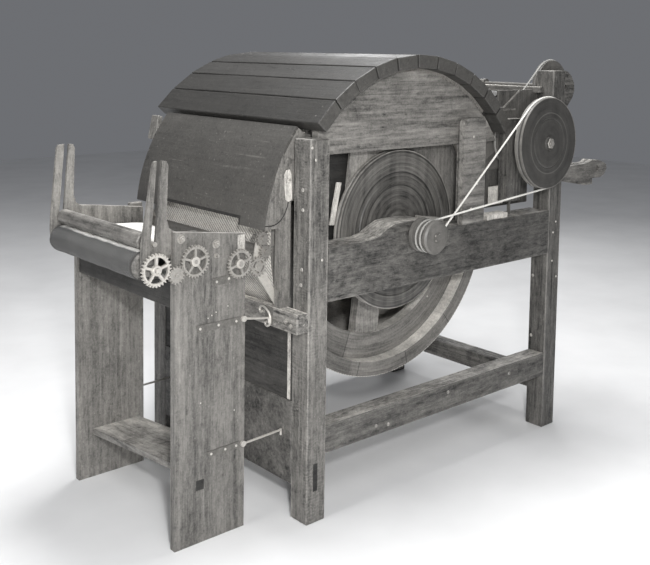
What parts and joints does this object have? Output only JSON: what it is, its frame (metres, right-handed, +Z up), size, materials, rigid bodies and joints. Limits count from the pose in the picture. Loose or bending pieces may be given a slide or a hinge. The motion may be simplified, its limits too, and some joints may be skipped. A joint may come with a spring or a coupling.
{
  "type": "carding machine",
  "caption": "Early wooden hand-built carding machine: clothed cylinder under an arch of flats, geared feed stand, doffer and crank-driven doffing comb in a post-and-rail frame.",
  "frame": {"origin": "middle of the footprint's bounding box, on the floor", "axes": "+X along the machine from the feed stand to the doffer and comb, +Y across it from the pulley side to the far side, +Z up"},
  "size_m": [2.0892, 0.983, 1.4298],
  "materials": {
    "oak": "aged, rough-sawn timber",
    "pine": "planed softwood, dry and marked",
    "dark_wood": "smooth dark board",
    "turned_wood": "turned, with fine ring marks",
    "clothing": "wooden staves faced with wire card clothing",
    "iron": "worn iron",
    "rope": "pale laid cotton cord",
    "canvas": "pale woven canvas"
  },
  "bodies": {
    "frame": {"arch_board_far": "oak", "arch_board_near": "oak", "cheek_far": "oak", "cheek_near": "oak", "comb_bracket_far": "oak", "comb_bracket_near": "oak", "comb_cord": "rope", "crank_bearing_far": "oak", "crank_bearing_near": "oak", "cross_rail_back": "oak", "doffer_bearing_far": "oak", "doffer_bearing_near": "oak", "doffer_cord": "rope", "doffer_cover": "oak", "feed_apron": "canvas", "feed_bearing_far": "iron", "feed_bearing_near": "iron", "feed_shelf": "pine", "feed_side_far": "pine", "feed_side_near": "pine", "feed_stretcher": "pine", "feed_table": "pine", "flats_back": "oak", "flats_front": "oak", "flats_top": "oak", "front_board_lower": "pine", "front_cover": "dark_wood", "front_cross_bar": "oak", "front_panel_upper": "dark_wood", "header_rail": "oak", "post_back_far": "oak", "post_back_near": "oak", "post_front_far": "oak", "post_front_near": "oak", "side_rail_lower_far": "oak", "side_rail_lower_near": "oak", "side_rail_mid_far": "oak", "side_rail_mid_near": "oak"},
    "cylinder": {"cylinder_drum": "clothing", "main_shaft": "iron", "drive_pulley": "turned_wood"},
    "doffer": {"doffer_roller": "clothing", "doffer_shaft": "turned_wood", "doffer_pulley": "turned_wood"},
    "comb_crank": {"crank_shaft": "iron"},
    "connecting_rod": {"connecting_rod": "iron"},
    "doffer_comb": {"doffer_comb": "iron"},
    "front_roller": {"front_roller": "pine", "wheel_front": "iron"},
    "pinion": {"wheel_pinion": "iron"},
    "middle_wheel": {"wheel_middle": "iron"},
    "rear_roller": {"rear_roller": "iron"},
    "idler": {"wheel_idler": "iron"},
    "lower_feed_roller": {"feed_roller_lower": "iron"},
    "upper_feed_roller": {"feed_roller_upper": "iron"},
    "lap_spindle": {"lap_spindle": "iron"},
    "lap_roller": {"lap_roller": "turned_wood"},
    "hook_upper_near": {"hook_upper_near": "iron"},
    "hook_lower_near": {"hook_lower_near": "iron"},
    "hook_lower_far": {"hook_lower_far": "iron"}
  },
  "joints": [
    {"name": "cylinder_spin", "type": "hinge", "parent": "frame", "child": "cylinder", "pos_m": [-0.07042, 0.0345, 0.844], "axis": [0, 1, 0], "continuous": true},
    {"name": "doffer_spin", "type": "hinge", "parent": "frame", "child": "doffer", "pos_m": [0.53458, 0.0345, 1.115], "axis": [0, 1, 0], "continuous": true},
    {"name": "crank_spin", "type": "hinge", "parent": "frame", "child": "comb_crank", "pos_m": [0.76158, 0.0345, 1.312], "axis": [0, 1, 0], "continuous": true},
    {"name": "rod_pivot", "type": "hinge", "parent": "comb_crank", "child": "connecting_rod", "pos_m": [0.77158, 0.0345, 1.312], "axis": [0, 1, 0], "continuous": true},
    {"name": "comb_rock", "type": "hinge", "parent": "frame", "child": "doffer_comb", "pos_m": [0.97458, 0.0345, 0.985], "axis": [0, 1, 0], "range_deg": [-3, 3]},
    {"name": "front_roller_spin", "type": "hinge", "parent": "frame", "child": "front_roller", "pos_m": [-0.99692, 0.0345, 0.8345], "axis": [0, 1, 0], "continuous": true},
    {"name": "pinion_spin", "type": "hinge", "parent": "frame", "child": "pinion", "pos_m": [-0.93187, -0.2865, 0.81208], "axis": [0, 1, 0], "continuous": true},
    {"name": "middle_wheel_spin", "type": "hinge", "parent": "frame", "child": "middle_wheel", "pos_m": [-0.86992, -0.2815, 0.842], "axis": [0, 1, 0], "continuous": true},
    {"name": "rear_roller_spin", "type": "hinge", "parent": "frame", "child": "rear_roller", "pos_m": [-0.71392, 0.0345, 0.814], "axis": [0, 1, 0], "continuous": true},
    {"name": "idler_spin", "type": "hinge", "parent": "frame", "child": "idler", "pos_m": [-0.64591, -0.2865, 0.79578], "axis": [0, 1, 0], "continuous": true},
    {"name": "lower_feed_spin", "type": "hinge", "parent": "frame", "child": "lower_feed_roller", "pos_m": [-0.61912, 0.0345, 0.83752], "axis": [0, 1, 0], "continuous": true},
    {"name": "upper_feed_spin", "type": "hinge", "parent": "frame", "child": "upper_feed_roller", "pos_m": [-0.63088, 0.0345, 0.87909], "axis": [0, 1, 0], "continuous": true},
    {"name": "lap_lift", "type": "slide", "parent": "frame", "child": "lap_spindle", "axis": [0.0913, 0, 0.9958], "range_m": [0, 0.19]},
    {"name": "lap_spin", "type": "hinge", "parent": "lap_spindle", "child": "lap_roller", "pos_m": [-0.98632, 0.0345, 0.9012], "axis": [0, 1, 0], "continuous": true},
    {"name": "hook_upper_near_swing", "type": "hinge", "parent": "frame", "child": "hook_upper_near", "pos_m": [-0.69042, -0.2815, 0.643], "axis": [0, -1, 0], "range_deg": [0, 95]},
    {"name": "hook_lower_near_swing", "type": "hinge", "parent": "frame", "child": "hook_lower_near", "pos_m": [-0.69042, -0.2815, 0.26], "axis": [0, -1, 0], "range_deg": [0, 95]},
    {"name": "hook_lower_far_swing", "type": "hinge", "parent": "frame", "child": "hook_lower_far", "pos_m": [-0.69042, 0.3345, 0.26], "axis": [0, -1, 0], "range_deg": [0, 95]}
  ],
  "couplings": [
    {"joint": "doffer_spin", "follows": "cylinder_spin", "ratio": -0.31411},
    {"joint": "crank_spin", "follows": "cylinder_spin", "ratio": -0.31411},
    {"joint": "rod_pivot", "follows": "cylinder_spin", "ratio": 0.31411},
    {"joint": "pinion_spin", "follows": "front_roller_spin", "ratio": -1.8667},
    {"joint": "middle_wheel_spin", "follows": "front_roller_spin", "ratio": 1},
    {"joint": "rear_roller_spin", "follows": "front_roller_spin", "ratio": 1.0769},
    {"joint": "idler_spin", "follows": "front_roller_spin", "ratio": -1.5556},
    {"joint": "lower_feed_spin", "follows": "front_roller_spin", "ratio": 2.1538},
    {"joint": "upper_feed_spin", "follows": "front_roller_spin", "ratio": -2}
  ]
}
